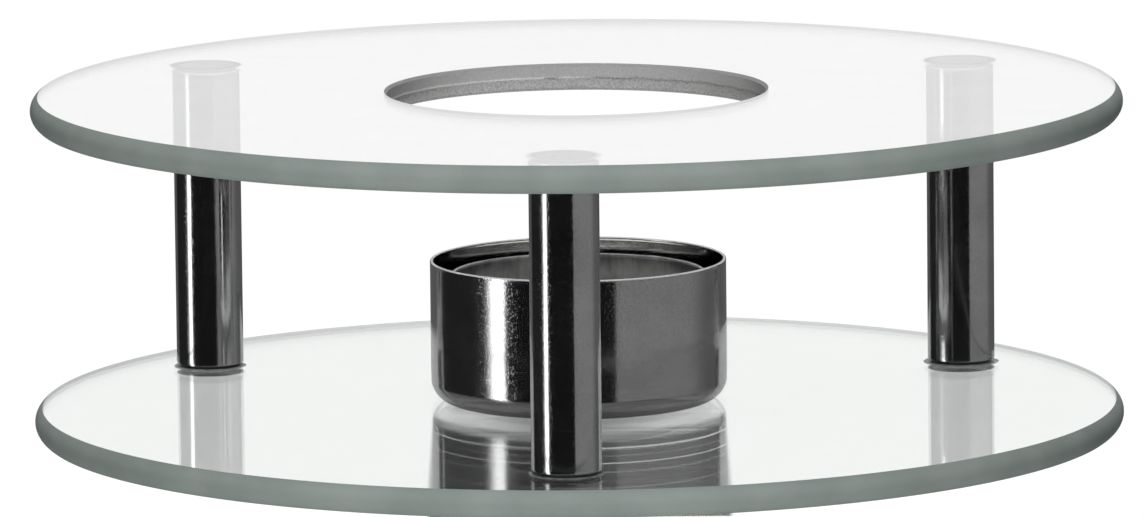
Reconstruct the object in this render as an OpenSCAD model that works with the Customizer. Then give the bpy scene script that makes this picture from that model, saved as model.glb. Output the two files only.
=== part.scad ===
// Teapot warmer: two round glass plates held apart by three polished bars, with a drawn metal
// cup that carries a tea light standing loose on the lower plate.
// Millimetres, +Z up. The origin is on the table, under the centre of the lower plate.

/* [Glass plates] */
// Diameter of both plates
glass_d = 160; // [140:1:200]
// Thickness of both plates
glass_t = 4; // [3:0.5:8]
// How far the ground outer edge draws in at each face
edge_inset = 1.1; // [0.6:0.1:1.4]
// Clear height between the plates
plate_gap = 42; // [34:1:60]
// Diameter of the hole over the flame
hole_d = 55.5; // [50:0.5:70]
// Bevel at both mouths of the hole
hole_bevel = 0.4; // [0.2:0.1:0.8]

/* [Posts] */
// Diameter of the three bars
post_d = 10; // [8:0.5:14]
// Distance from the rim of the glass in to the centre of a bar
post_inset = 15; // [10:0.5:20]
// Bevel at both ends of a bar
post_bevel = 0.6; // [0.3:0.1:1]

/* [Adhesive] */
// Thickness of the cured film between a bar and the glass
bond_t = 0.1; // [0.05:0.05:0.2]
// How far the film has squeezed out past the bar
bond_spread = 0.4; // [0.1:0.1:0.6]

/* [Candle cup] */
// Gap between the tea light's rim and the wall of the cup
cup_play = 2.35; // [0.5:0.05:4]
// Height of the drawn cup
cup_h = 20.9; // [19:0.1:30]
// Thickness of its sheet
cup_wall = 0.5; // [0.3:0.1:0.8]
// Outer radius of its lower corner
cup_corner = 3.4; // [1.5:0.1:5]
// Diameter of the raised centre in its floor
pan_d = 26.6; // [20:0.1:29]
// Rise of that centre
pan_rise = 0.4; // [0.2:0.1:1]

/* [Tea light] */
// Diameter of the tea light over its rolled rim
light_d = 37.8; // [36:0.1:39]
// Height of the tea light's metal shell
light_h = 18; // [14:0.5:20]
// Thickness of the shell
light_wall = 0.2; // [0.1:0.05:0.3]
// Outer radius of the shell's lower corner
light_corner = 1.2; // [0.6:0.1:2]
// Radius of the rolled rim
rim_roll = 0.35; // [0.3:0.05:0.5]
// Depth of the wax below the rim
wax_drop = 5.2; // [1:0.1:7]

/* [Wick] */
// Diameter of the cotton wick
wick_d = 1.5; // [1:0.1:2.4]
// Length of wick that stands out of the wax
wick_out = 6; // [3:0.5:9]
// Diameter of the metal foot under the wick
foot_d = 15; // [10:0.5:20]
// Thickness of the foot's sheet
foot_t = 0.25; // [0.15:0.05:0.5]
// Height of the crimped neck on the foot
neck_h = 3; // [2:0.5:5]

/* [Hidden] */
// Gap left where the wick and its foot pass through other pieces
wick_fit = 0.04;
// Gap left where the set wax has shrunk from the metal
wax_fit = 0.05;
// Extra length of every cut, so that it runs clear of the solid
overrun = 1;
post_count = 3;
glass_r = glass_d / 2;
half_t = glass_t / 2;
edge_r = (edge_inset * edge_inset + half_t * half_t) / (2 * edge_inset);
hole_r = hole_d / 2;
post_r = post_d / 2;
post_ring_r = glass_r - post_inset;
front_turn = 270;
right_turn = front_turn + 360 / post_count;
left_turn = front_turn - 360 / post_count;
bond_r = post_r + bond_spread;
lower_top_z = glass_t;
post_z = lower_top_z + bond_t;
post_len = plate_gap - 2 * bond_t;
upper_bond_z = post_z + post_len;
upper_z = lower_top_z + plate_gap;
cup_r = light_d / 2 + cup_play + cup_wall;
pan_r = pan_d / 2;
cup_floor_z = lower_top_z + pan_rise + cup_wall;
roll_r = light_d / 2 - rim_roll;
light_r = roll_r - rim_roll + light_wall;
light_in_r = light_r - light_wall;
wax_z = cup_floor_z + light_wall;
wax_top_z = cup_floor_z + light_h - wax_drop;
wax_h = wax_top_z - wax_z;
wick_r = wick_d / 2;
neck_in_r = wick_r + wick_fit;
neck_r = neck_in_r + foot_t;
$fn = 96;

// Half section of a plate: a flat disc whose rim is ground to a shallow round
module plate_section() {
    square([glass_r - edge_inset, glass_t]);
    intersection() {
        translate([glass_r - edge_r, half_t]) circle(r = edge_r);
        square([glass_r, glass_t]);
    }
}

module plate() {
    rotate_extrude() plate_section();
}

// Bore through the upper plate, opened at both mouths by the bevel
module flame_hole() {
    translate([0, 0, -overrun]) cylinder(r = hole_r, h = glass_t + 2 * overrun);
    translate([0, 0, glass_t - hole_bevel])
        cylinder(r1 = hole_r, r2 = hole_r + hole_bevel + overrun, h = hole_bevel + overrun);
    translate([0, 0, -overrun])
        cylinder(r1 = hole_r + hole_bevel + overrun, r2 = hole_r, h = hole_bevel + overrun);
}

// Places its children at one bar's centre line
module at_post(turn) {
    rotate([0, 0, turn]) translate([post_ring_r, 0, 0]) children();
}

// Solid round bar, bevelled at both ends
module post_bar() {
    translate([0, 0, post_z]) {
        cylinder(r1 = post_r - post_bevel, r2 = post_r, h = post_bevel);
        translate([0, 0, post_bevel]) cylinder(r = post_r, h = post_len - 2 * post_bevel);
        translate([0, 0, post_len - post_bevel])
            cylinder(r1 = post_r, r2 = post_r - post_bevel, h = post_bevel);
    }
}

// Thin film of cured clear adhesive on one end of a bar
module bond_film(z) {
    translate([0, 0, z]) cylinder(r = bond_r, h = bond_t);
}

// Half section of a round pot that is solid, with its lower corner rounded
module pot_section(r, h, corner) {
    square([r - corner, h]);
    translate([0, corner]) square([r, h - corner]);
    translate([r - corner, corner]) circle(r = corner);
}

module base_glass() {
    color("honeydew", 0.4) plate();
}

module top_glass() {
    color("honeydew", 0.4) translate([0, 0, upper_z]) difference() {
        plate();
        flame_hole();
    }
}

module post(turn) {
    color("dimgray") at_post(turn) post_bar();
}

module lower_bond(turn) {
    color("whitesmoke", 0.6) at_post(turn) bond_film(lower_top_z);
}

module upper_bond(turn) {
    color("whitesmoke", 0.6) at_post(turn) bond_film(upper_bond_z);
}

// Drawn cup: its floor steps up to a raised centre, and the sheet keeps one thickness
module candle_cup() {
    color("gray") translate([0, 0, lower_top_z]) rotate_extrude() {
        difference() {
            pot_section(cup_r, cup_h, cup_corner);
            translate([0, cup_wall])
                pot_section(cup_r - cup_wall, cup_h, cup_corner - cup_wall);
            square([pan_r, cup_wall]);
        }
        translate([0, pan_rise]) square([pan_r + cup_wall, cup_wall]);
    }
}

// Pressed shell of the tea light, with a rolled rim
module tealight_shell() {
    color("silver") translate([0, 0, cup_floor_z]) rotate_extrude() {
        difference() {
            pot_section(light_r, light_h - rim_roll, light_corner);
            translate([0, light_wall])
                pot_section(light_in_r, light_h, light_corner - light_wall);
        }
        translate([roll_r, light_h - rim_roll]) circle(r = rim_roll);
    }
}

// Room in the wax for the wick and for its foot
module wick_room() {
    translate([0, 0, -overrun]) cylinder(r = neck_in_r, h = wax_h + 2 * overrun);
    translate([0, 0, -overrun]) cylinder(r = foot_d / 2 + wax_fit, h = foot_t + wax_fit + overrun);
    cylinder(r = neck_r + wax_fit, h = neck_h + wax_fit);
}

module tealight_wax() {
    color("ivory") translate([0, 0, wax_z]) difference() {
        rotate_extrude()
            pot_section(light_in_r - wax_fit, wax_h, light_corner - light_wall);
        wick_room();
    }
}

module tealight_wick() {
    color("antiquewhite") translate([0, 0, wax_z]) cylinder(r = wick_r, h = wax_h + wick_out);
}

// Stamped foot: a round tab with a neck that is crimped on the wick
module wick_foot() {
    color("darkgray") translate([0, 0, wax_z]) difference() {
        union() {
            cylinder(r = foot_d / 2, h = foot_t);
            cylinder(r = neck_r, h = neck_h);
        }
        translate([0, 0, -overrun]) cylinder(r = neck_in_r, h = neck_h + 2 * overrun);
    }
}

base_glass();
top_glass();
post(front_turn);  // post_front
post(right_turn);  // post_right
post(left_turn);  // post_left
lower_bond(front_turn);  // lower_bond_front
lower_bond(right_turn);  // lower_bond_right
lower_bond(left_turn);  // lower_bond_left
upper_bond(front_turn);  // upper_bond_front
upper_bond(right_turn);  // upper_bond_right
upper_bond(left_turn);  // upper_bond_left
candle_cup();
tealight_shell();
tealight_wax();
tealight_wick();
wick_foot();
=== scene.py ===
import math

import bpy
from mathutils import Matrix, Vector


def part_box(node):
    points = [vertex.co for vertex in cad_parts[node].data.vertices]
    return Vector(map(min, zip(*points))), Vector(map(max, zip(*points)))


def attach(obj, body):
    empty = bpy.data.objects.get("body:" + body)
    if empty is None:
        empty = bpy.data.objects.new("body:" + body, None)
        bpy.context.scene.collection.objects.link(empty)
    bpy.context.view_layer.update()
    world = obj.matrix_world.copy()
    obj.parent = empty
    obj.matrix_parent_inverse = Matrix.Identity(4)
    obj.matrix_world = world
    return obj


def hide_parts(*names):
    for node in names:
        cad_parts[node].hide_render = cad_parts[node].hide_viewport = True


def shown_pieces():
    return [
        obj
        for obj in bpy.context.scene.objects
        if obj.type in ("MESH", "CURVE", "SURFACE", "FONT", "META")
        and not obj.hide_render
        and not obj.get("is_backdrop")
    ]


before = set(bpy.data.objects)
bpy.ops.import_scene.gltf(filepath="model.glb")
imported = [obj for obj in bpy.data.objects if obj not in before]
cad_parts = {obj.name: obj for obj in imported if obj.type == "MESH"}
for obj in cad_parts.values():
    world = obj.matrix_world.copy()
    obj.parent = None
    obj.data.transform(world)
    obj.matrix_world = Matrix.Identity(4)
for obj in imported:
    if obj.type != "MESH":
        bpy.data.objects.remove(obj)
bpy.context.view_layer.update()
print("frame loaded:", len(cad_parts), "nodes")

mm = 0.001
fullTurn = 2 * math.pi
mergeGap = 0.002 * mm


# Driving places, all taken from the frame, in metres

def middleOf(node):
    low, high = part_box(node)
    return (low + high) / 2


baseLow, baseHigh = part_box("base_glass")
topLow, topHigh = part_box("top_glass")
postLow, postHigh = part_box("post_front")
cupLow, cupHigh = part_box("candle_cup")
shellLow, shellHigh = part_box("tealight_shell")
waxLow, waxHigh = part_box("tealight_wax")
wickLow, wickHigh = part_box("tealight_wick")
footLow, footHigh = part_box("wick_foot")

glassRadius = baseHigh.x
glassThick = baseHigh.z - baseLow.z
postRadius = (postHigh.x - postLow.x) / 2
cupRadius = cupHigh.x
sides = ("front", "right", "left")


# Selecting and shaping, as done by hand in edit mode

def clearSelection():
    if bpy.context.mode != "OBJECT":
        bpy.ops.object.mode_set(mode="OBJECT")
    bpy.ops.object.select_all(action="DESELECT")


def takeUp(piece):
    clearSelection()
    piece.select_set(True)
    bpy.context.view_layer.objects.active = piece


def openMesh(piece):
    takeUp(piece)
    bpy.ops.object.mode_set(mode="EDIT")
    bpy.ops.mesh.select_mode(type="VERT")


def closeMesh():
    bpy.ops.object.mode_set(mode="OBJECT")


def pickVertices(piece, test):
    openMesh(piece)
    bpy.ops.mesh.select_all(action="DESELECT")
    closeMesh()
    for vertex in piece.data.vertices:
        vertex.select = test(vertex.co)
    bpy.ops.object.mode_set(mode="EDIT")


def named(name):
    piece = bpy.context.active_object
    piece.name = piece.data.name = name
    return piece


def copyOf(piece, name):
    takeUp(piece)
    bpy.ops.object.duplicate(linked=False)
    return named(name)


def settle(piece):
    takeUp(piece)
    bpy.ops.object.transform_apply(location=True, rotation=True, scale=True)


def smoothBy(piece, degrees):
    takeUp(piece)
    bpy.ops.object.shade_smooth_by_angle(angle=math.radians(degrees))


def arc(centre, radius, start, end, count):
    turns = [math.radians(start + (end - start) * step / count) for step in range(count + 1)]
    return [(centre[0] + radius * math.cos(turn), centre[1] + radius * math.sin(turn))
            for turn in turns]


def lathe(name, outline, steps, closed=False):
    # One vertex is drawn out along the outline (radius, height) and then spun round Z
    clearSelection()
    startRadius, startHeight = outline[0]
    bpy.ops.mesh.primitive_plane_add(size=mm, location=(0, 0, 0))
    piece = named(name)
    openMesh(piece)
    bpy.ops.mesh.select_all(action="SELECT")
    bpy.ops.mesh.merge(type="CENTER")
    bpy.ops.transform.translate(value=(startRadius, 0, startHeight))
    path = outline + [outline[0]] if closed else outline
    for here, there in zip(path, path[1:]):
        step = (there[0] - here[0], 0, there[1] - here[1])
        bpy.ops.mesh.extrude_region_move(TRANSFORM_OT_translate={"value": step})
    bpy.ops.mesh.select_all(action="SELECT")
    bpy.ops.mesh.remove_doubles(threshold=mergeGap)
    bpy.ops.mesh.select_all(action="SELECT")
    bpy.ops.mesh.spin(steps=steps, angle=fullTurn, center=(0, 0, 0), axis=(0, 0, 1))
    bpy.ops.mesh.select_all(action="SELECT")
    bpy.ops.mesh.remove_doubles(threshold=mergeGap)
    bpy.ops.mesh.normals_make_consistent(inside=False)
    closeMesh()
    return piece


def addModifier(piece, kind, **settings):
    takeUp(piece)
    bpy.ops.object.modifier_add(type=kind)
    modifier = piece.modifiers[-1]
    for key, value in settings.items():
        setattr(modifier, key, value)
    bpy.ops.object.modifier_apply(modifier=modifier.name)


def ruffle(piece, test, grain, **settings):
    # Clouds of this grain push about the vertices that pass the test
    marked = piece.vertex_groups.new(name="marked")
    picked = [vertex.index for vertex in piece.data.vertices if test(vertex.co)]
    marked.add(picked, 1.0, "REPLACE")
    clouds = bpy.data.textures.new(piece.name + "Clouds", "CLOUDS")
    clouds.noise_scale = grain
    addModifier(piece, "DISPLACE", texture=clouds, vertex_group=marked.name, **settings)


def dress(piece, finish, body, slot, *nodes):
    piece.data.materials.clear()
    piece.data.materials.append(finish)
    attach(piece, body)
    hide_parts(*nodes)


# Shader maths: an expression on wires adds its Math nodes

class Wire:
    def __init__(self, tree, socket):
        self.tree = tree
        self.socket = socket

    def math(self, operation, *values):
        node = self.tree.nodes.new("ShaderNodeMath")
        node.operation = operation
        for socket, value in zip(node.inputs, values):
            if isinstance(value, Wire):
                self.tree.links.new(value.socket, socket)
            else:
                socket.default_value = value
        return Wire(self.tree, node.outputs[0])

    def __add__(self, other):
        return self.math("ADD", self, other)

    def __sub__(self, other):
        return self.math("SUBTRACT", self, other)

    def __mul__(self, other):
        return self.math("MULTIPLY", self, other)

    def __truediv__(self, other):
        return self.math("DIVIDE", self, other)

    def __radd__(self, other):
        return self.math("ADD", other, self)

    def __rsub__(self, other):
        return self.math("SUBTRACT", other, self)

    def __rmul__(self, other):
        return self.math("MULTIPLY", other, self)

    def __rtruediv__(self, other):
        return self.math("DIVIDE", other, self)

    def __pow__(self, other):
        return self.math("POWER", self, other)

    def above(self, other):
        return self.math("GREATER_THAN", self, other)

    def least(self, other):
        return self.math("MINIMUM", self, other)

    def most(self, other):
        return self.math("MAXIMUM", self, other)

    def root(self):
        return self.math("SQRT", self)

    def size(self):
        return self.math("ABSOLUTE", self)


class Finish:
    def __init__(self, name, owner=None):
        self.owner = owner or bpy.data.materials.new(name)
        self.owner.use_nodes = True
        self.tree = self.owner.node_tree
        self.tree.nodes.clear()

    def add(self, kind, settings=None, sockets=None):
        node = self.tree.nodes.new("ShaderNode" + kind)
        for key, value in (settings or {}).items():
            setattr(node, key, value)
        for key, value in (sockets or {}).items():
            if isinstance(value, Wire):
                self.tree.links.new(value.socket, node.inputs[key])
            else:
                node.inputs[key].default_value = value
        return node

    def out(self, kind, sockets=None, settings=None, output=0):
        return Wire(self.tree, self.add(kind, settings, sockets).outputs[output])

    def here(self):
        return self.out("TexCoord", output="Object")

    def axes(self, place):
        split = self.add("SeparateXYZ", None, {0: place})
        return [Wire(self.tree, socket) for socket in split.outputs]

    def reach(self, across, along):
        return (across * across + along * along).root()

    def stretched(self, place, scale, turn=(0, 0, 0)):
        return self.out("Mapping", {"Vector": place, "Scale": scale, "Rotation": turn})

    def noise(self, place, size, detail=2.0, roughness=0.5):
        return self.out("TexNoise", {
            "Vector": place, "Scale": 1 / size, "Detail": detail, "Roughness": roughness})

    def ease(self, value, low, high, toLow=0.0, toHigh=1.0):
        return self.out("MapRange", {
            "Value": value, "From Min": low, "From Max": high, "To Min": toLow, "To Max": toHigh,
        }, {"interpolation_type": "SMOOTHSTEP"})

    def blend(self, share, first, second):
        return self.out("Mix", {0: share, 6: first, 7: second}, {"data_type": "RGBA"}, 2)

    def mottled(self, height, low, high, tones):
        return self.blend(self.ease(height, low, high), *tones)

    def bump(self, height, depth, strength=1.0):
        return self.out("Bump", {"Height": height, "Distance": depth, "Strength": strength})

    def depth(self, kind):
        return self.out("LightPath", output=kind + " Depth")

    def bounced(self):
        # Rays that metal has mirrored; two bounces inside one pane of glass aren't counted
        inPane = (self.depth("Glossy") - 2).size() + (self.depth("Transmission") - 2).size()
        return self.depth("Glossy").above(0.5) * inPane.above(0.5)

    def mixShaders(self, share, first, second):
        return self.out("MixShader", {0: share, 1: first, 2: second})

    def show(self, surface, kind="OutputMaterial"):
        self.add(kind, None, {"Surface": surface})
        return self.owner


def fromPost(look, across, along):
    # Distance from the nearest post's centre line; the left and right posts mirror each other
    front = middleOf("post_front")
    right = middleOf("post_right")
    toSide = look.reach(across.size() - right.x, along - right.y)
    return toSide.least(look.reach(across, along - front.y))


# Camera at the photograph's angle, from the fit to both plates

cameraSetup = {
    "turn": 1.7,
    "height": 8.648,
    "distance": 1667.8 * mm,
    "aimHeight": 24.87 * mm,
    "aimLeft": 0.73 * mm,
    "roll": -0.61,
    "lens": 356.9,
    "sensor": 36,
    "nearest": 0.1,
    "farthest": 50,
}


def turnedFrom(turn, height, distance):
    flat = distance * math.cos(math.radians(height))
    return Vector((
        flat * math.sin(math.radians(turn)),
        -flat * math.cos(math.radians(turn)),
        distance * math.sin(math.radians(height)),
    ))


def setCamera():
    turn = math.radians(cameraSetup["turn"])
    aim = Vector((0, 0, cameraSetup["aimHeight"]))
    aim -= Vector((math.cos(turn), math.sin(turn), 0)) * cameraSetup["aimLeft"]
    back = turnedFrom(cameraSetup["turn"], cameraSetup["height"], cameraSetup["distance"])
    clearSelection()
    bpy.ops.object.camera_add(location=aim + back)
    camera = named("camera")
    camera.data.lens = cameraSetup["lens"]
    camera.data.sensor_width = cameraSetup["sensor"]
    camera.data.clip_start = cameraSetup["nearest"]
    camera.data.clip_end = cameraSetup["farthest"]
    camera.rotation_euler = (-back).to_track_quat("-Z", "Y").to_euler()
    camera.rotation_euler.rotate_axis("Z", math.radians(cameraSetup["roll"]))
    bpy.context.scene.camera = camera


setCamera()
print("camera set")


# Glass plates

glass = {
    "steps": 288,
    "smooth": 20,
    "edgeInset": 1.1 * mm,
    "edgeParts": 14,
    "holeRadius": 27.75 * mm,
    "holeBevel": 0.4 * mm,
    "ridgeAt": 0.47,                          # share of the wall's height
    "ridgeLip": 0.045 * mm,
    "ridgeHalf": 0.16 * mm,
    "wander": 0.01 * mm,                      # how far the grinding of the wall strays
    "tint": (0.945, 0.952, 0.947, 1),
    "passing": (0.98, 0.985, 0.98, 1),
    "bend": 1.52,
    "rimTones": ((0.186, 0.216, 0.201, 1), (0.222, 0.252, 0.237, 1)),
    "holeTones": ((0.27, 0.271, 0.27, 1), (0.60, 0.602, 0.60, 1)),
    "upperInside": (0.20, 0.208, 0.204, 1),
    "baseInside": (0.31, 0.32, 0.314, 1),
    "leftPaintedReflection": (0.03, 0.033, 0.031, 1),
    "rightPaintedReflection": (0.20, 0.205, 0.20, 1),
    "groundRough": 0.46,
    "groundSpecular": 0.03,
    "grain": 0.3 * mm,
    "grainDepth": 0.05 * mm,
    "slant": (0.6, 0.85),
    "film": 0.40,
    "filmRough": 0.04,
    "coating": 0.35,
    "wetIn": 0.35 * mm,
    "wetOut": 0.36 * mm,
}
faceRadius = glassRadius - glass["edgeInset"]


def rimOutline(bottom):
    # The ground edge is one shallow arc from face to face
    half = glassThick / 2
    radius = (glass["edgeInset"] ** 2 + half ** 2) / (2 * glass["edgeInset"])
    reach = math.degrees(math.asin(half / radius))
    return arc((glassRadius - radius, bottom + half), radius, -reach, reach, glass["edgeParts"])


def makeBasePlate():
    outline = [(0, baseLow.z)] + rimOutline(baseLow.z) + [(0, baseHigh.z)]
    plate = lathe("basePlate", outline, glass["steps"])
    smoothBy(plate, glass["smooth"])
    return plate


def makeUpperPlate():
    hole = glass["holeRadius"]
    bevel = glass["holeBevel"]
    ridge = glass["ridgeHalf"]
    wander = glass["wander"]
    middle = topLow.z + glass["ridgeAt"] * glassThick
    wall = [
        (hole + bevel, topHigh.z),
        (hole, topHigh.z - bevel),
        (hole + 2 * wander, middle + 2.2 * ridge),
        (hole, middle + ridge),
        (hole - glass["ridgeLip"], middle),
        (hole + 3 * wander, middle - ridge),
        (hole + 5 * wander, middle - 2.5 * ridge),
        (hole, topLow.z + bevel),
        (hole + bevel, topLow.z),
    ]
    plate = lathe("upperPlate", rimOutline(topLow.z) + wall, glass["steps"], closed=True)
    smoothBy(plate, glass["smooth"])
    return plate


def holeWallTone(look, place, across, up, grain):
    # The wall is rougher under its ridge, and a line there has a painted highlight on the left and
    # painted shade on the right
    depth = (topHigh.z - up) / glassThick
    ripple = look.noise(place, 0.5 * mm, 3, 0.7) - 0.5
    swell = look.noise(place, 4 * mm, 2) - 0.5
    depth = depth + (ripple * 0.16 + swell * 0.1)
    lower = look.ease(depth, 0.46, 0.52)
    line = lower * look.ease(depth, 0.60, 0.53)
    paintedLitShare = look.ease(look.noise(place, 7 * mm, 2) - across * 12, 0.42, 0.62)
    speckle = look.ease(grain, 0.34, 0.66) - 0.5
    mouth = 1 - look.ease((topHigh.z - up) / glassThick, 0.09, 0.12)
    share = 0.55 + speckle * (0.22 + lower * 0.35)
    share = share + line * (paintedLitShare * 1.1 - 0.5) - mouth * 0.4
    return look.blend(share, *glass["holeTones"])


def groundFinish(look, across, grain, tone, inside):
    # In what polished metal mirrors, the ground edges show a painted reflection: painted dark on the
    # left and painted grey on the right, whatever light falls on them
    rightward = look.ease(across, 5 * mm, 25 * mm)
    mirrored = look.blend(rightward, glass["leftPaintedReflection"], glass["rightPaintedReflection"])
    satin = look.out("BsdfPrincipled", {
        "Base Color": look.blend(look.bounced(), tone, mirrored),
        "Roughness": glass["groundRough"],
        "Specular IOR Level": glass["groundSpecular"],
        "Normal": look.bump(grain, glass["grainDepth"], 0.6),
    })
    within = look.out("BsdfTranslucent", {"Color": inside})
    leftPaintedReflectionThrough = look.out("BsdfTranslucent", {"Color": glass["leftPaintedReflection"]})
    rightPaintedReflectionThrough = look.out("BsdfTranslucent", {"Color": glass["rightPaintedReflection"]})
    within = look.mixShaders(look.bounced(), within, look.mixShaders(rightward, leftPaintedReflectionThrough, rightPaintedReflectionThrough))
    return look.mixShaders(look.out("NewGeometry", output="Backfacing"), satin, within)


def clearFinish(look, place, across, along, up, upper):
    # At a flat angle the upper pane shows a thin film and the lower one mirrors a little less
    polish = {"Color": glass["tint"], "Roughness": 0.0, "IOR": glass["bend"]}
    clear = look.out("BsdfGlass", polish)
    if upper:
        flat = look.out("BsdfAnisotropic", {"Color": (1, 1, 1, 1), "Roughness": glass["filmRough"]})
        share = glass["film"]
    else:
        flat = look.out("BsdfRefraction", polish)
        share = glass["coating"]
    wiped = look.stretched(place, (1, 2.5, 1), (0, 0, 0.6))
    smears = look.ease(look.noise(wiped, 30 * mm, 4, 0.6), 0.2, 0.8, 0.9, 1.1)
    slant = look.ease(look.out("LayerWeight", output="Facing"), *glass["slant"])
    pane = look.mixShaders(slant * smears * share, clear, flat)
    plain = look.out("LightPath", output="Is Shadow Ray")
    if upper:
        # Where the adhesive wets the lower face, nothing is mirrored
        narrow = postRadius - glass["wetIn"]
        wide = postRadius + glass["wetOut"]
        past = fromPost(look, across, along) - look.ease(along, -1 * mm, 1 * mm, narrow, wide)
        wetted = 1 - look.ease(past, -0.03 * mm, 0.03 * mm)
        lowerFace = 1 - look.ease(up, topLow.z + 0.02 * mm, topLow.z + 0.1 * mm)
        plain = plain.most(wetted * lowerFace)
    return look.mixShaders(plain, pane, look.out("BsdfTransparent", {"Color": glass["passing"]}))


def glassFinish(name, upper):
    look = Finish(name)
    place = look.here()
    across, along, up = look.axes(place)
    radius = look.reach(across, along)
    wander = look.noise(place, 2.2 * mm, 3) - 0.5
    ground = (radius + wander * 0.05 * mm).above(faceRadius)
    grain = look.noise(place, glass["grain"], 3, 0.65)
    cloud = look.noise(place, 9 * mm, 3)
    tone = look.mottled(cloud * 0.8 + grain * 0.2, 0.3, 0.7, glass["rimTones"])
    inside = glass["baseInside"]
    if upper:
        inHole = 1 - radius.above(glass["holeRadius"] + glass["holeBevel"] * 0.98)
        ground = ground.most(inHole)
        tone = look.blend(inHole, tone, holeWallTone(look, place, across, up, grain))
        inside = glass["upperInside"]
    frosted = groundFinish(look, across, grain, tone, inside)
    pane = clearFinish(look, place, across, along, up, upper)
    return look.show(look.mixShaders(ground, pane, frosted))


basePlate = makeBasePlate()
dress(basePlate, glassFinish("baseGlassFinish", False), "stand", "clear_glass", "base_glass")
upperPlate = makeUpperPlate()
dress(upperPlate, glassFinish("upperGlassFinish", True), "stand", "clear_glass", "top_glass")
print("glass plates made")


# Posts

post = {
    "steps": 128,
    "smooth": 24,
    "turns": (0, 77, 151),                    # each post is glued on at its own turn
    "bevel": 0.6 * mm,
    "soft": 0.12 * mm,
    "support": 0.4 * mm,
    "faceDish": 0.02 * mm,
    "sideTones": ((0.46, 0.46, 0.465, 1), (0.64, 0.64, 0.645, 1)),
    "endTones": ((0.10, 0.10, 0.10, 1), (0.42, 0.42, 0.42, 1)),
    "rough": (0.09, 0.15),
    "endRough": 0.35,
    "pit": 0.19 * mm,
    "pitDepth": 0.010 * mm,
}


def turnPost(name):
    bottom, top = postLow.z, postHigh.z
    length = top - bottom
    bevel = post["bevel"]
    soft = post["soft"]
    dish = post["faceDish"]
    lower = [
        (0, bottom + dish),
        (postRadius * 0.55, bottom + dish * 0.6),
        (postRadius - bevel - soft, bottom),
        (postRadius - bevel, bottom + soft * 0.25),
        (postRadius - soft * 0.3, bottom + bevel - soft * 0.5),
        (postRadius, bottom + bevel + soft),
        (postRadius, bottom + bevel + post["support"]),
    ]
    middle = [(postRadius, bottom + length * share) for share in (0.25, 0.5, 0.75)]
    upper = [(distance, top - (height - bottom)) for distance, height in reversed(lower)]
    blank = lathe(name, lower + middle + upper, post["steps"])
    smoothBy(blank, post["smooth"])
    return blank


def standPost(piece, side, turn):
    centre = middleOf("post_" + side)
    takeUp(piece)
    bpy.ops.transform.rotate(value=math.radians(turn), orient_axis="Z", center_override=(0, 0, 0))
    bpy.ops.transform.translate(value=(centre.x, centre.y, 0))
    settle(piece)


def postFinish():
    look = Finish("polishedPostFinish")
    place = look.here()
    across, along, up = look.axes(place)
    pit = post["pit"]
    grain = look.noise(look.stretched(place, (1, 1, 0.6)), pit, 2, 0.6)
    pits = grain * 0.45 + look.ease(look.noise(place, pit * 1.2, 1), 0.58, 0.70) * 0.55
    specks = look.noise(place, pit, 4, 0.7)
    marks = look.noise(look.stretched(place, (1, 1, 0.04)), 0.5 * mm, 3)
    cloud = look.noise(place, 6 * mm, 3)
    middle = (postLow.z + postHigh.z) / 2
    half = postHigh.z - middle
    end = look.ease((up - middle).size(), half - 0.12 * mm, half - 0.04 * mm)
    side = look.mottled(cloud * 0.4 + specks * 0.6, 0.3, 0.7, post["sideTones"])
    turned = look.mottled(look.noise(place, 1.3 * mm, 3, 0.7), 0.35, 0.7, post["endTones"])
    rough = look.ease(pits * 0.5 + cloud * 0.5, 0.3, 0.8, *post["rough"])
    return look.show(look.out("BsdfPrincipled", {
        "Base Color": look.blend(end, side, turned),
        "Metallic": 1.0,
        "Roughness": rough + end * post["endRough"],
        "Normal": look.bump(pits * 0.9 + marks * 0.1, post["pitDepth"], 0.8),
    }))


firstPost = turnPost("frontPost")
posts = [firstPost, copyOf(firstPost, "rightPost"), copyOf(firstPost, "leftPost")]
polished = postFinish()
for piece, side, turn in zip(posts, sides, post["turns"]):
    standPost(piece, side, turn)
    dress(piece, polished, "stand", "polished_post", "post_" + side)
print("posts made")


# Cured adhesive between the posts and the glass

bond = {
    "steps": 96,
    "smooth": 40,
    "clear": 0.004 * mm,
    "meniscus": 0.22 * mm,
    "spreads": {"front": 0.42 * mm, "right": 0.62 * mm, "left": 0.36 * mm},
    "wobble": 0.35 * mm,
    "wobbleGrain": 2.4 * mm,
    "bodyTones": ((0.93, 0.94, 0.94, 1), (0.8, 0.81, 0.81, 1)),
    "paintedShadeTone": (0.42, 0.43, 0.43, 1),
    "paintedEdgeShadeTones": ((0.02, 0.02, 0.02, 1), (0.22, 0.23, 0.23, 1)),
    "passing": (0.97, 0.97, 0.97, 1),
    "bubble": 0.7 * mm,
}


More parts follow.
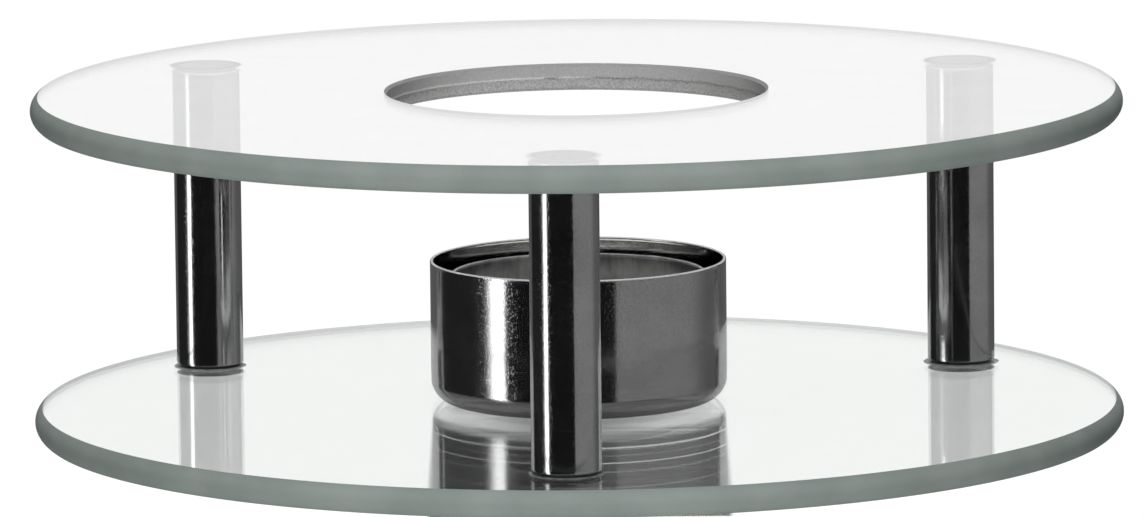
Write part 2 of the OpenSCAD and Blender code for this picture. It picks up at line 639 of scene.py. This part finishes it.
def makeBond(name, node, upper, spread):
    low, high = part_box(node)
    centre = (low + high) / 2
    thin = high.z - low.z
    clear = bond["clear"]
    bottom = low.z + clear
    face = postRadius - post["bevel"]
    reach = postRadius + spread
    under = bottom + thin - 2 * clear
    outline = [
        (0, bottom),
        (reach * 0.6, bottom),
        (reach - 0.1 * mm, bottom),
        (reach, bottom + 0.02 * mm),
        (reach - 0.12 * mm, bottom + thin * 0.6),
        (postRadius - 0.02 * mm, bottom + thin + bond["meniscus"] * 0.5),
        (face + 0.02 * mm, bottom + thin * 0.9),
        (face * 0.6, under),
        (0, under),
    ]
    film = lathe(name, outline, bond["steps"])
    smoothBy(film, bond["smooth"])
    ruffle(film, lambda co: co.xy.length > postRadius + 0.05 * mm, bond["wobbleGrain"],
           strength=bond["wobble"], mid_level=0.5, direction="NORMAL", texture_coords="LOCAL")
    takeUp(film)
    if upper:
        bpy.ops.transform.rotate(value=math.pi, orient_axis="X", center_override=(0, 0, centre.z))
    bpy.ops.transform.translate(value=(centre.x, centre.y, 0))
    settle(film)
    # What has wandered into the glass is pressed flat against it
    level = high.z - clear if upper else bottom
    pickVertices(film, lambda co: co.z > level if upper else co.z < level)
    bpy.ops.transform.resize(value=(1, 1, 0), center_override=(0, 0, level))
    closeMesh()
    return film


def bondFinish():
    look = Finish("adhesiveFinish")
    place = look.here()
    across, along, up = look.axes(place)
    bubbles = look.noise(place, bond["bubble"], 2)
    # Beyond the post the bead is painted grey, and much of it is an opaque near-black edge, a painted
    # shade line
    outside = look.ease(fromPost(look, across, along), postRadius - 0.9 * mm, postRadius - 0.5 * mm)
    body = look.mottled(bubbles, 0.4, 0.8, bond["bodyTones"])
    resin = look.out("BsdfPrincipled", {
        "Base Color": look.blend(outside, body, bond["paintedShadeTone"]),
        "Roughness": look.ease(bubbles, 0.3, 0.8, 0.05, 0.22),
        "IOR": 1.5,
        "Transmission Weight": 0.85,
        "Normal": look.bump(bubbles, 0.02 * mm, 0.5),
    })
    edge = look.out("BsdfPrincipled", {
        "Base Color": look.blend(bubbles, *bond["paintedEdgeShadeTones"]),
        "Roughness": 0.35,
    })
    resin = look.mixShaders(outside * look.ease(bubbles, 0.3, 0.6, 0.6, 0.95), resin, edge)
    passing = look.out("BsdfTransparent", {"Color": bond["passing"]})
    return look.show(look.mixShaders(look.out("LightPath", output="Is Shadow Ray"), resin, passing))


adhesive = bondFinish()
for side in sides:
    for level in ("lower", "upper"):
        name = level + side.capitalize() + "Bond"
        node = level + "_bond_" + side
        film = makeBond(name, node, level == "upper", bond["spreads"][side])
        dress(film, adhesive, "stand", "clear_adhesive", node)
print("adhesive made")


# Drawn cup; each point of its steps is millimetres outward and a share of the rise

cup = {
    "steps": 256,
    "smooth": 40,
    "wall": 0.5 * mm,
    "corner": 3.4 * mm,
    "cornerParts": 14,
    "cornerRunOut": ((-0.06, 0.35), (-0.01, 0.9), (0, 1.6)),
    "pan": 13.3 * mm,
    "panRise": 0.4 * mm,
    "panOutside": ((-0.5, 1), (-0.15, 0.8), (0.15, 0.2), (0.5, 0)),
    "panInside": ((0.6, 0), (0.2, 0.2), (-0.15, 0.8), (-0.5, 1)),
    "lip": 0.2 * mm,
    "tones": ((0.47, 0.47, 0.47, 1), (0.65, 0.65, 0.65, 1)),
    "rough": (0.08, 0.13),
    "peelDepth": 0.010 * mm,
}


def makeCup():
    bottom, top = cupLow.z, cupHigh.z
    wall = cup["wall"]
    corner = cup["corner"]
    rise = cup["panRise"]
    lip = cup["lip"]
    innerLip = lip * 0.7
    outer = cupRadius
    inner = outer - wall
    turnIn = (outer - corner, bottom + corner)
    outline = [(0, bottom + rise)]
    outline += [(cup["pan"] + out * mm, bottom + rise * share) for out, share in cup["panOutside"]]
    outline += arc(turnIn, corner, -90, -4, cup["cornerParts"])
    outline += [(outer + out * mm, bottom + corner + up * mm) for out, up in cup["cornerRunOut"]]
    outline += [(outer, bottom + (top - bottom) * share) for share in (0.4, 0.6, 0.8)]
    outline += [(outer, top - 2 * lip)]
    outline += arc((outer - lip, top - lip), lip, 0, 90, 5)
    outline += arc((inner + innerLip, top - innerLip), innerLip, 90, 180, 4)
    outline += [(inner, top - 2 * lip)]
    outline += [(inner, bottom + (top - bottom) * share) for share in (0.8, 0.6, 0.4)]
    outline += arc(turnIn, corner - wall, 0, -90, cup["cornerParts"])
    outline += [(cup["pan"] + wall + out * mm, bottom + wall + rise * share)
                for out, share in cup["panInside"]]
    outline += [(0, bottom + wall + rise)]
    piece = lathe("drawnCup", outline, cup["steps"])
    smoothBy(piece, cup["smooth"])
    return piece


def cupFinish():
    look = Finish("drawnCupFinish")
    place = look.here()
    across, along, up = look.axes(place)
    grain = look.noise(look.stretched(place, (1, 1, 0.7)), 0.2 * mm, 2, 0.6)
    peel = grain * 0.45 + look.ease(look.noise(place, 0.24 * mm, 1), 0.58, 0.70) * 0.55
    specks = look.noise(place, 0.3 * mm, 4, 0.7)
    broad = look.noise(place, 1.1 * mm, 2)
    nicks = look.noise(place, 0.45 * mm, 3, 0.7)
    cloud = look.noise(place, 8 * mm, 3)
    ring = look.out("CombineXYZ", {"X": look.reach(across, along)})
    spun = look.noise(ring, 0.22 * mm, 3, 0.6)
    level = 1 - look.ease(up, cupLow.z + 1.0 * mm, cupLow.z + 1.4 * mm)
    lip = look.ease(up, cupHigh.z - 0.5 * mm, cupHigh.z - 0.25 * mm)
    wall = peel * 0.96 + broad * 0.04 + lip * nicks * 5
    return look.show(look.out("BsdfPrincipled", {
        "Base Color": look.mottled(cloud * 0.4 + specks * 0.6, 0.3, 0.7, cup["tones"]),
        "Metallic": 1.0,
        "Roughness": look.ease(peel * 0.5 + cloud * 0.5, 0.3, 0.8, *cup["rough"]),
        "Normal": look.bump(wall + (spun - wall) * level, cup["peelDepth"], 0.8),
    }))


dress(makeCup(), cupFinish(), "cup", "drawn_steel", "candle_cup")
print("cup made")


# Tea light

foil = {
    "steps": 240,
    "smooth": 40,
    "wall": 0.2 * mm,
    "corner": 1.2 * mm,
    "roll": 0.35 * mm,
    "wallRings": (0.15, 0.3, 0.45, 0.6, 0.75, 0.9),
    "flutes": 0.16 * mm,
    "fluteGrain": 0.9 * mm,
    "fluteStretch": 30,
    "tones": ((0.24, 0.24, 0.245, 1), (0.38, 0.38, 0.385, 1)),
    "paintedShadeInsideTones": ((0.09, 0.09, 0.092, 1), (0.17, 0.17, 0.172, 1)),
    "rough": (0.1, 0.2),
    "insideRough": 0.18,
    "wrinkleDepth": 0.025 * mm,
}


def makeShell():
    bottom, top = shellLow.z, shellHigh.z
    roll = foil["roll"]
    wall = foil["wall"]
    corner = foil["corner"]
    rollRadius = shellHigh.x - roll
    outer = rollRadius - roll + wall
    inner = outer - wall
    wallBottom = bottom + corner
    span = top - 2.2 * roll - bottom - corner
    outline = [(0, bottom), (outer - corner, bottom)]
    outline += arc((outer - corner, wallBottom), corner, -75, 0, 5)
    outline += [(outer, wallBottom + span * share) for share in foil["wallRings"]]
    outline += arc((rollRadius, top - roll), roll, -150, 150, 10)
    outline += [(inner, top - 1.6 * roll)]
    outline += [(inner, wallBottom + span * share) for share in reversed(foil["wallRings"])]
    outline += arc((outer - corner, wallBottom), corner - wall, 0, -90, 5)
    outline += [(0, bottom + wall)]
    shell = lathe("foilShell", outline, foil["steps"])
    smoothBy(shell, foil["smooth"])
    # The flutes run up the wall, so their clouds are drawn out by a stretched helper
    clearSelection()
    bpy.ops.object.empty_add(location=(0, 0, 0))
    helper = bpy.context.active_object
    helper.scale = (1, 1, foil["fluteStretch"])
    bpy.context.view_layer.update()
    lowest = bottom + 2 * corner
    highest = top - 3 * roll
    ruffle(shell, lambda co: lowest < co.z < highest and co.xy.length > inner * 0.95,
           foil["fluteGrain"], strength=foil["flutes"], mid_level=0.5, direction="NORMAL",
           texture_coords="OBJECT", texture_coords_object=helper)
    takeUp(helper)
    bpy.ops.object.delete()
    return shell


def foilFinish():
    look = Finish("foilFinish")
    place = look.here()
    across, along, up = look.axes(place)
    wrinkles = look.noise(look.stretched(place, (1, 1, 0.06)), 0.45 * mm, 3, 0.6)
    cloud = look.noise(place, 3 * mm, 3)
    inner = shellHigh.x - 2 * foil["roll"]
    # The shell's inner faces get darker tones, which are painted shade, and more roughness
    paintedShadeInside = 1 - look.ease(look.reach(across, along), inner + 0.05 * mm, inner + 0.15 * mm)
    bright = look.mottled(cloud * 0.5 + wrinkles * 0.5, 0.3, 0.7, foil["tones"])
    paintedShadeFoil = look.mottled(cloud * 0.7 + wrinkles * 0.3, 0.3, 0.7, foil["paintedShadeInsideTones"])
    rough = look.ease(wrinkles * 0.6 + cloud * 0.4, 0.3, 0.8, *foil["rough"])
    return look.show(look.out("BsdfPrincipled", {
        "Base Color": look.blend(paintedShadeInside, bright, paintedShadeFoil),
        "Metallic": 1.0,
        "Roughness": rough + paintedShadeInside * foil["insideRough"],
        "Normal": look.bump(wrinkles, foil["wrinkleDepth"], 0.7),
    }))


wax = {
    "steps": 128,
    "smooth": 35,
    "corner": 1 * mm,
    "wickGap": 0.79 * mm,
    "neckRoom": (1.2 * mm, 1.25 * mm, 3.1 * mm),
    "footRoom": (7.6 * mm, 0.35 * mm),
    "dip": 0.9 * mm,
    "dipRings": (0.985, 0.96, 0.92, 0.85, 0.75, 0.6, 0.45, 0.3, 0.18, 0.1, 0.07),
    "ripple": 0.3 * mm,
    "rippleGrain": 5 * mm,
    "tones": ((0.84, 0.82, 0.77, 1), (0.90, 0.89, 0.86, 1)),
}


def makeWax():
    bottom, top = waxLow.z, waxHigh.z
    radius = waxHigh.x
    corner = wax["corner"]
    wickGap = wax["wickGap"]
    dip = wax["dip"]
    neckTop, neckFoot, neckHeight = wax["neckRoom"]
    footRadius, footHeight = wax["footRoom"]
    outline = [
        (wickGap, bottom + neckHeight),
        (neckTop, bottom + neckHeight),
        (neckFoot, bottom + footHeight),
        (footRadius, bottom + footHeight),
        (footRadius, bottom),
        (radius - corner, bottom),
    ]
    outline += arc((radius - corner, bottom + corner), corner, -60, 0, 4)
    outline += [(radius, top - 2 * mm), (radius, top - 0.15 * mm), (radius - 0.1 * mm, top)]
    for share in wax["dipRings"]:
        atRim = max(0.0, (share - 0.85) / 0.15) ** 2
        atWick = min(1.0, max(0.0, (0.12 - share) / 0.08) ** 2)
        outline += [(radius * share, top - dip * (1 - 0.9 * atRim - 0.35 * atWick))]
    outline += [(wickGap, top - dip * 0.55)]
    body = lathe("waxBody", outline, wax["steps"], closed=True)
    smoothBy(body, wax["smooth"])
    ruffle(body, lambda co: co.z > top - 1.2 * mm and 1.2 * mm < co.xy.length < radius * 0.97,
           wax["rippleGrain"], strength=wax["ripple"], mid_level=0.6, direction="Z",
           texture_coords="LOCAL")
    return body


def waxFinish():
    look = Finish("waxFinish")
    place = look.here()
    cloud = look.noise(place, 2.5 * mm, 4)
    grain = look.noise(place, 0.4 * mm, 3)
    return look.show(look.out("BsdfPrincipled", {
        "Base Color": look.mottled(cloud, 0.3, 0.75, wax["tones"]),
        "Roughness": look.ease(cloud * 0.6 + grain * 0.4, 0.3, 0.8, 0.32, 0.5),
        "Subsurface Weight": 0.35,
        "Subsurface Radius": (1.0, 0.9, 0.8),
        "Subsurface Scale": 1.2 * mm,
        "Normal": look.bump(cloud * 0.7 + grain * 0.3, 0.05 * mm, 0.5),
    }))


wick = {
    "radius": 0.75 * mm,
    "corners": 48,
    "smooth": 50,
    "strands": 6,
    "groove": 0.8,
    "rings": 60,
    "twist": 1500,
    "tones": ((0.72, 0.69, 0.62, 1), (0.86, 0.84, 0.78, 1)),
}


def makeWick():
    bottom, top = wickLow.z, wickHigh.z
    height = top - bottom
    clearSelection()
    bpy.ops.mesh.primitive_cylinder_add(
        vertices=wick["corners"], radius=wick["radius"], depth=height,
        location=(0, 0, (bottom + top) / 2))
    cord = named("cottonWick")
    settle(cord)
    for ring in range(1, wick["rings"]):
        openMesh(cord)
        bpy.ops.mesh.select_all(action="SELECT")
        cut = bottom + height * ring / wick["rings"]
        bpy.ops.mesh.bisect(plane_co=(0, 0, cut), plane_no=(0, 0, 1))
        closeMesh()
    # Grooves are pressed in between the strands, and the whole is then twisted
    pickVertices(cord, lambda co: co.xy.length > 0.5 * mm
                 and math.cos(wick["strands"] * math.atan2(co.y, co.x)) < -0.2)
    bpy.ops.transform.resize(value=(wick["groove"], wick["groove"], 1), center_override=(0, 0, bottom))
    closeMesh()
    addModifier(cord, "SIMPLE_DEFORM", deform_method="TWIST", deform_axis="Z",
                angle=math.radians(wick["twist"]))
    smoothBy(cord, wick["smooth"])
    return cord


def wickFinish():
    look = Finish("wickFinish")
    fibres = look.noise(look.stretched(look.here(), (1, 1, 0.3)), 0.12 * mm, 3)
    return look.show(look.out("BsdfPrincipled", {
        "Base Color": look.mottled(fibres, 0.3, 0.7, wick["tones"]),
        "Roughness": look.ease(fibres, 0.2, 0.8, 0.6, 0.8),
        "Normal": look.bump(fibres, 0.05 * mm, 0.8),
    }))


foot = {
    "steps": 96,
    "smooth": 35,
    "sheet": 0.25 * mm,
    "neckIn": 0.79 * mm,
    "neckOut": 1.04 * mm,
    "edge": 0.05 * mm,
    "edgeRise": 0.06 * mm,
    "crimp": 0.07 * mm,
    "tones": ((0.52, 0.52, 0.5, 1), (0.62, 0.62, 0.6, 1)),
}


def makeFoot():
    bottom, top = footLow.z, footHigh.z
    radius = footHigh.x
    sheet = bottom + foot["sheet"]
    neckIn = foot["neckIn"]
    neckOut = foot["neckOut"]
    edge = foot["edge"]
    outline = [
        (neckIn, bottom),
        (radius - edge, bottom),
        (radius, bottom + foot["edgeRise"]),
        (radius, sheet - foot["edgeRise"]),
        (radius - edge, sheet),
        (neckOut + 0.3 * mm, sheet),
        (neckOut + 0.08 * mm, sheet + 0.08 * mm),
        (neckOut, sheet + 0.35 * mm),
        (neckOut, top - 1.3 * mm),
        (neckOut - foot["crimp"], top - 1.0 * mm),
        (neckOut, top - 0.7 * mm),
        (neckOut, top - edge),
        (neckOut - edge, top),
        (neckIn, top),
    ]
    tab = lathe("stampedFoot", outline, foot["steps"], closed=True)
    smoothBy(tab, foot["smooth"])
    return tab


def footFinish():
    look = Finish("stampedFootFinish")
    mottle = look.noise(look.here(), 0.9 * mm, 3)
    return look.show(look.out("BsdfPrincipled", {
        "Base Color": look.mottled(mottle, 0.3, 0.7, foot["tones"]),
        "Metallic": 1.0,
        "Roughness": look.ease(mottle, 0.2, 0.8, 0.25, 0.42),
        "Normal": look.bump(mottle, 0.01 * mm, 0.6),
    }))


dress(makeShell(), foilFinish(), "tealight", "tealight_aluminium", "tealight_shell")
dress(makeWax(), waxFinish(), "tealight", "wax", "tealight_wax")
dress(makeWick(), wickFinish(), "tealight", "cotton_wick", "tealight_wick")
dress(makeFoot(), footFinish(), "tealight", "tinned_foot", "wick_foot")
print("tea light made")


# Studio floor

floorSetup = {
    "drop": 0.3 * mm,
    "size": 8.0,
    "tone": (0.9, 0.9, 0.9, 1),
    "bounce": (0.4, 0.4, 0.4, 1),
    "paintedPostShadow": (0.03, 0.03, 0.03, 1),
    "paintedPostShadowSoft": 0.3 * mm,
    "paintedCupShadow": (0.15, 0.15, 0.15, 1),
    "paintedCupShadowDisc": (29 * mm, 35 * mm),
}


def makeFloor():
    clearSelection()
    bpy.ops.mesh.primitive_plane_add(size=floorSetup["size"], location=(0, 0, -floorSetup["drop"]))
    floor = named("studioFloor")
    settle(floor)
    look = Finish("floorFinish")
    across, along, up = look.axes(look.here())
    # The floor straight under the posts has a painted shadow
    soft = floorSetup["paintedPostShadowSoft"]
    paintedLitShare = look.ease(fromPost(look, across, along), postRadius - soft, postRadius + soft)
    shown = look.blend(look.depth("Diffuse").above(0.5), floorSetup["tone"], floorSetup["bounce"])
    pale = look.out("BsdfDiffuse", {"Color": look.blend(paintedLitShare, floorSetup["paintedPostShadow"], shown)})
    # Polished metal mirrors only a painted shadow, a dark disc under the cup, and the studio beyond it
    dark = look.out("BsdfDiffuse", {"Color": floorSetup["paintedCupShadow"]})
    beyond = look.ease(look.reach(across, along), *floorSetup["paintedCupShadowDisc"])
    mirrored = look.mixShaders(beyond, dark, look.out("BsdfTransparent"))
    floor.data.materials.append(look.show(look.mixShaders(look.bounced(), pale, mirrored)))
    floor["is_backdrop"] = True
    return floor


# What polished metal mirrors: brightness by turn from straight ahead and by lift, in degrees

surround = {
    "dark": 0.009,
    "stripRise": (-83, -67),
    "stripFall": (-58, -63),
    "stripBend": 2.5,
    "stripLight": 3.5,
    "glow": (-84, -54, 8),
    "glowLight": 0.03,
    "card": (29, 134, 0.8),
    "cardFade": (92, 122, 0.25, 0.13),
    "dim": (-134, -84, 4),
    "dimLight": 0.012,
    "back": (131, 136),
    "backLight": 0.11,
    "high": (24, 38),
    "horizon": (5, 7.5),
    "horizonLight": 0.95,
    "low": (-24, -34),
    "lowLight": 0.5,
    "ambient": 0.02,
}


def setWorld():
    world = bpy.data.worlds.new("studioWorld")
    bpy.context.scene.world = world
    look = Finish("studioWorld", world)
    degrees = 180 / math.pi
    across, along, up = look.axes(look.out("TexCoord", output="Generated"))
    turn = across.math("ARCTAN2", across, 0 - along) * degrees - cameraSetup["turn"]
    lift = up.math("ARCSINE", up) * degrees

    def band(low, high, soft):
        return look.ease(turn, low - soft, low + soft) * look.ease(turn, high + soft, high - soft)

    strip = look.ease(turn, *surround["stripRise"]) ** surround["stripBend"]
    strip = strip * look.ease(turn, *surround["stripFall"])
    card = band(*surround["card"]) * look.ease(turn, *surround["cardFade"])
    back = look.ease(turn.size(), *surround["back"])
    around = surround["dark"] + strip * surround["stripLight"]
    around = around + band(*surround["glow"]) * surround["glowLight"] + card
    around = around + band(*surround["dim"]) * surround["dimLight"] + back * surround["backLight"]
    # A first mirroring, which is what glass shows, sees plain white above the horizon
    firstMirror = 1 - look.depth("Glossy").above(1.5)
    rear = back.most(firstMirror) * look.ease(lift, *surround["horizon"])
    overhead = look.ease(lift, *surround["high"]).most(rear * surround["horizonLight"])
    low = look.ease(lift, *surround["low"]) * surround["lowLight"]
    mirrored = around * (1 - overhead) * (1 - low) + overhead + low * surround["lowLight"]
    bounced = look.depth("Glossy").above(0.5)
    scattered = look.depth("Diffuse").above(0.5)
    direct = (1 - scattered) + scattered * surround["ambient"]
    light = bounced * mirrored + (1 - bounced) * direct
    look.show(look.out("Background", {"Color": (1, 1, 1, 1), "Strength": light}), "OutputWorld")
    world.cycles.sampling_method = "NONE"


# Lamps, and a flag in the shape of the cup's front wall that throws a long shadow towards the camera
# in the cup's stead

lamps = {
    "backHeight": 16.0,
    "backAngle": 0.35,
    "backPower": 12.6,
    "areas": {
        "frontLamp": {"place": (-0.15, -1.5, 0.0), "size": (0.6, 0.36), "power": 19.5},
        "rearLamp": {"place": (0.15, 1.5, 0.0), "size": (0.6, 0.36), "power": 19.5},
        "topLamp": {"place": (0.1, -0.2, 1.6), "size": (0.7, 0.7), "power": 20.0},
    },
}

flagSetup = {
    "corners": 192,
    "bottom": -0.25 * mm,
    "shadowEnd": 76 * mm,
    "softEdge": (20.9 * mm, 21.74 * mm),
    "streak": 1.7 * mm,
    "streakShare": 0.9,
    "glint": 0.16,
    "under": 0.18,
    "close": (0.16, 0.62),
    "rightSide": 0.068,
    # Height and half width in mm, and the share of light let through
    "slots": ((4.7, 0.30, 0.75), (8.4, 0.20, 0.7), (10.6, 0.12, 0.25), (14.3, 0.14, 0.3)),
}


def makeFlag():
    clearSelection()
    bottom = flagSetup["bottom"]
    height = cupHigh.z - bottom
    bpy.ops.mesh.primitive_cylinder_add(
        vertices=flagSetup["corners"], radius=cupRadius, depth=height,
        end_fill_type="NOTHING", location=(0, 0, bottom + height / 2))
    flag = named("cupFlag")
    settle(flag)
    # The half towards the back lamp stays, cut off where its shadow ends
    slope = math.tan(math.radians(lamps["backHeight"]))
    openMesh(flag)
    bpy.ops.mesh.select_all(action="SELECT")
    bpy.ops.mesh.bisect(plane_co=(0, 0, 0), plane_no=(0, 1, 0), clear_outer=True)
    bpy.ops.mesh.select_all(action="SELECT")
    bpy.ops.mesh.bisect(plane_co=(0, -flagSetup["shadowEnd"], -floorSetup["drop"]),
                        plane_no=(0, -slope, 1), clear_outer=True)
    closeMesh()
    bpy.ops.mesh.primitive_circle_add(
        vertices=flagSetup["corners"], radius=cupRadius, fill_type="NGON", location=(0, 0, bottom))
    settle(bpy.context.active_object)
    flag.select_set(True)
    bpy.context.view_layer.objects.active = flag
    bpy.ops.object.join()
    flag.data.materials.append(flagFinish(slope))
    flag.visible_camera = False
    flag.visible_diffuse = False
    flag.visible_glossy = False
    flag.visible_transmission = False
    flag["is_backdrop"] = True
    return flag


def flagFinish(slope):
    # How much light each height lets through: streaks, thin arcs and a pale pool close in
    look = Finish("flagFinish")
    across, along, up = look.axes(look.here())
    landing = along - (up + floorSetup["drop"]) / slope
    strip = look.out("CombineXYZ", {"X": across * 0.03, "Y": landing})
    streaks = look.noise(strip, flagSetup["streak"], 3, 0.7)
    under = 1 - look.ease(up, 2.4 * mm, 3.6 * mm)
    near = 1 - look.ease(up, 0.0, 1.6 * mm)
    rightward = look.ease(across, -7 * mm, 5 * mm, 0.4, 1.0)
    passed = under * (flagSetup["under"] + (streaks - 0.5) * flagSetup["streakShare"])
    passed = passed + look.ease(streaks, 0.5, 0.8) * rightward * flagSetup["glint"]
    passed = passed + near * look.ease(across.size(), 3 * mm, 17 * mm, *flagSetup["close"])
    passed = passed + look.ease(across, -4 * mm, 4 * mm) * flagSetup["rightSide"]
    for height, half, share in flagSetup["slots"]:
        slot = look.ease((up - height * mm).size(), half * mm, half * 0.4 * mm)
        passed = passed + slot * rightward * share
    passed = passed.most(look.ease(across.size(), *flagSetup["softEdge"]))
    tone = look.out("CombineColor", {"Red": passed, "Green": passed, "Blue": passed})
    return look.show(look.out("BsdfTransparent", {"Color": tone}))


def collectionOf(name, *objects):
    group = bpy.data.collections.new(name)
    for item in objects:
        group.objects.link(item)
    return group


def aim(lamp, direction):
    lamp.rotation_mode = "QUATERNION"
    lamp.rotation_quaternion = Vector(direction).to_track_quat("-Z", "Y")


def setLamps(floor, flag):
    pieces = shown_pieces()
    onlyFloor = collectionOf("onlyFloor", floor)
    onlyObject = collectionOf("onlyObject", *pieces)
    notWax = collectionOf("notWax", *[piece for piece in pieces if piece.name != "waxBody"])
    clearSelection()
    bpy.ops.object.light_add(type="SUN", location=(0, 1, 1))
    back = named("backLamp")
    back.data.energy = lamps["backPower"]
    back.data.angle = math.radians(lamps["backAngle"])
    aim(back, turnedFrom(cameraSetup["turn"], -lamps["backHeight"], 1))
    back.light_linking.receiver_collection = onlyFloor
    back.light_linking.blocker_collection = collectionOf("flags", flag)
    for name, setup in lamps["areas"].items():
        bpy.ops.object.light_add(type="AREA", location=setup["place"])
        lamp = named(name)
        lamp.data.shape = "RECTANGLE"
        lamp.data.size, lamp.data.size_y = setup["size"]
        lamp.data.energy = setup["power"]
        lamp.visible_camera = False
        lamp.visible_glossy = False
        lamp.visible_transmission = False
        aim(lamp, -Vector(setup["place"]))
        lamp.light_linking.receiver_collection = onlyObject if name == "topLamp" else notWax
        lamp.light_linking.blocker_collection = onlyObject


floor = makeFloor()
setWorld()
setLamps(floor, makeFlag())
bpy.context.scene.view_settings.view_transform = "Standard"
cycles = bpy.context.scene.cycles
cycles.max_bounces = 24
cycles.glossy_bounces = 12
cycles.transmission_bounces = 16
cycles.transparent_max_bounces = 24
print("studio set")
